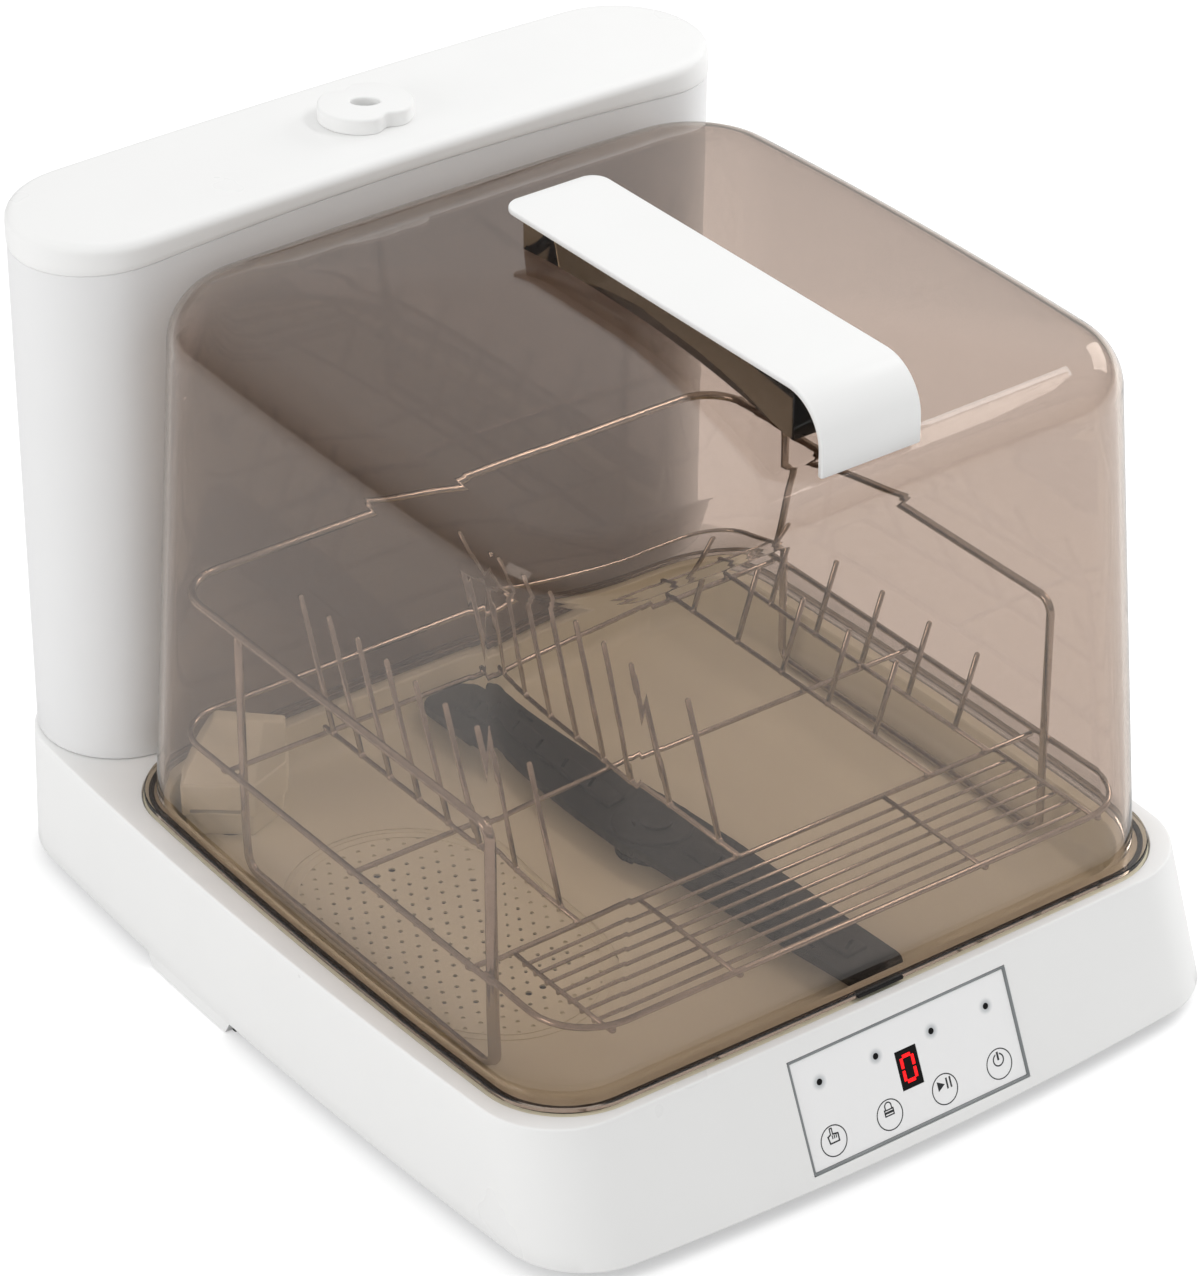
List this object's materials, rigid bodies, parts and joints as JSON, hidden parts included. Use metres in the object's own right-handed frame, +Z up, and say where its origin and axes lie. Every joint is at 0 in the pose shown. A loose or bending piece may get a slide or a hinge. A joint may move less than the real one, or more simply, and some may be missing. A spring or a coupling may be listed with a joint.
{
  "type": "countertop dishwasher",
  "caption": "Countertop dishwasher with a clear tinted lift-off cover, wire rack over a spray arm, touch panel and lift-off rear water tank.",
  "frame": {"origin": "on the surface the feet stand on, in the middle of the machine's outline", "axes": "+Z up, -Y towards the user and the control panel, +X to the user's right"},
  "size_m": [0.4184, 0.4892, 0.3835],
  "materials": {
    "white_plastic": "satin white moulding",
    "tub_plastic": "smooth off-white moulding",
    "grey_plastic": "moulded grey",
    "dark_plastic": "moulded dark grey",
    "black_rubber": "soft black",
    "steel": "polished stainless wire",
    "silver_trim": "satin silver",
    "panel_white": "printed film, satin",
    "display_black": "glossy black",
    "lamp_red": "lit red",
    "mark_grey": "printed dark grey",
    "board_green": "circuit board",
    "smoke_clear": "clear smoke-brown moulding"
  },
  "bodies": {
    "base": {"base_shell": "white_plastic", "bottom_plate": "grey_plastic", "feet": "black_rubber", "base_screws": "steel", "tub": "tub_plastic", "rim_gasket": "black_rubber", "filter_plate": "tub_plastic", "sump": "grey_plastic", "heater": "steel", "air_duct": "tub_plastic", "wash_pump": "dark_plastic", "spray_post": "dark_plastic", "drain_pump": "dark_plastic", "blower": "dark_plastic", "hoses": "black_rubber", "control_board": "board_green", "panel_frame": "silver_trim", "panel_face": "panel_white", "display": "display_black", "display_bars": "lamp_red", "indicator_dots": "display_black", "touch_marks": "mark_grey", "power_board": "board_green", "reed_switch": "dark_plastic", "power_inlet": "dark_plastic", "drain_spout": "grey_plastic", "dock_socket": "grey_plastic"},
    "spray_arm": {"spray_arm": "dark_plastic"},
    "wash_rotor": {"wash_rotor": "grey_plastic"},
    "drain_rotor": {"drain_rotor": "grey_plastic"},
    "blower_wheel": {"blower_wheel": "grey_plastic"},
    "rack": {"rack_frame": "steel", "rack_grille": "steel", "rack_tines": "steel"},
    "tank": {"tank_body": "white_plastic", "tank_lid": "white_plastic", "tank_gasket": "black_rubber", "valve_seal": "black_rubber"},
    "fill_cap": {"fill_cap": "white_plastic"},
    "tank_valve": {"tank_valve": "grey_plastic"},
    "cover": {"dome": "smoke_clear", "dome_catch": "black_rubber", "handle": "white_plastic", "handle_screws": "steel"}
  },
  "joints": [
    {"name": "cover_lift", "type": "slide", "parent": "base", "child": "cover", "axis": [0, -0.03, 0.9996], "range_m": [0, 0.32]},
    {"name": "rack_lift", "type": "slide", "parent": "base", "child": "rack", "axis": [0, 0, 1], "range_m": [0, 0.04]},
    {"name": "tank_lift", "type": "slide", "parent": "base", "child": "tank", "axis": [0, 0, 1], "range_m": [0, 0.15]},
    {"name": "cap_turn", "type": "hinge", "parent": "tank", "child": "fill_cap", "pos_m": [-0.001, 0.1985, 0.365], "axis": [0, 0, 1], "range_deg": [0, 90]},
    {"name": "valve_lift", "type": "slide", "parent": "tank", "child": "tank_valve", "axis": [0, 0, 1], "range_m": [0, 0.004], "stiffness_N_per_m": 60, "springref_m": -0.004},
    {"name": "arm_spin", "type": "hinge", "parent": "base", "child": "spray_arm", "pos_m": [0.01, -0.024, 0.06], "axis": [0, 0, 1], "continuous": true},
    {"name": "wash_rotor_spin", "type": "hinge", "parent": "base", "child": "wash_rotor", "pos_m": [0.01, -0.024, 0.028], "axis": [0, 0, 1], "continuous": true},
    {"name": "drain_rotor_spin", "type": "hinge", "parent": "base", "child": "drain_rotor", "pos_m": [0.04, 0.045, 0.028], "axis": [0, 0, 1], "continuous": true},
    {"name": "blower_spin", "type": "hinge", "parent": "base", "child": "blower_wheel", "pos_m": [-0.132, 0.196, 0.027], "axis": [0, 0, 1], "continuous": true}
  ]
}
